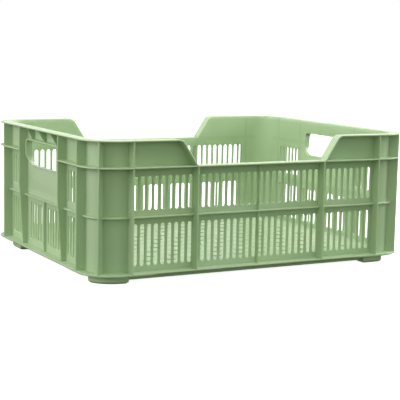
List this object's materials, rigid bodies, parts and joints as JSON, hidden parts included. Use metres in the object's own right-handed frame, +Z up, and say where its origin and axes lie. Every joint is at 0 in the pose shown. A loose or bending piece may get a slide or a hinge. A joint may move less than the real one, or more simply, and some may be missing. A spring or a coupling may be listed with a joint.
{
  "type": "stacking harvest crate",
  "caption": "Rigid moulded crate with slotted walls, a perforated floor, dipped long sides, a hand hole in each end and stacking feet.",
  "frame": {"origin": "under the middle of the crate, on the plane of the four feet", "axes": "+X along the long sides, +Y from the front long side to the back one, +Z up"},
  "size_m": [0.5, 0.394, 0.186],
  "materials": {
    "sage_plastic": "satin moulded polypropylene, pale sage green"
  },
  "bodies": {
    "root": {"floor_grid": "sage_plastic", "base_flange": "sage_plastic", "front_low_rim": "sage_plastic", "front_centre_rib": "sage_plastic", "front_stacking_skirt": "sage_plastic", "front_outer_bay_left": "sage_plastic", "front_inner_bay_left": "sage_plastic", "front_deep_rib_left": "sage_plastic", "front_high_wall_left": "sage_plastic", "corner_shell_front_left": "sage_plastic", "corner_ribs_front_left": "sage_plastic", "corner_rim_front_left": "sage_plastic", "foot_front_left": "sage_plastic", "left_end_strip_front": "sage_plastic", "left_deep_rib_front": "sage_plastic", "front_outer_bay_right": "sage_plastic", "front_inner_bay_right": "sage_plastic", "front_deep_rib_right": "sage_plastic", "front_high_wall_right": "sage_plastic", "corner_shell_front_right": "sage_plastic", "corner_ribs_front_right": "sage_plastic", "corner_rim_front_right": "sage_plastic", "foot_front_right": "sage_plastic", "right_end_strip_front": "sage_plastic", "right_deep_rib_front": "sage_plastic", "back_low_rim": "sage_plastic", "back_centre_rib": "sage_plastic", "back_stacking_skirt": "sage_plastic", "back_outer_bay_left": "sage_plastic", "back_inner_bay_left": "sage_plastic", "back_deep_rib_left": "sage_plastic", "back_high_wall_left": "sage_plastic", "corner_shell_back_left": "sage_plastic", "corner_ribs_back_left": "sage_plastic", "corner_rim_back_left": "sage_plastic", "foot_back_left": "sage_plastic", "left_end_strip_back": "sage_plastic", "left_deep_rib_back": "sage_plastic", "back_outer_bay_right": "sage_plastic", "back_inner_bay_right": "sage_plastic", "back_deep_rib_right": "sage_plastic", "back_high_wall_right": "sage_plastic", "corner_shell_back_right": "sage_plastic", "corner_ribs_back_right": "sage_plastic", "corner_rim_back_right": "sage_plastic", "foot_back_right": "sage_plastic", "right_end_strip_back": "sage_plastic", "right_deep_rib_back": "sage_plastic", "left_handle_panel": "sage_plastic", "left_lower_panel": "sage_plastic", "left_end_rim": "sage_plastic", "right_handle_panel": "sage_plastic", "right_lower_panel": "sage_plastic", "right_end_rim": "sage_plastic"}
  },
  "joints": []
}
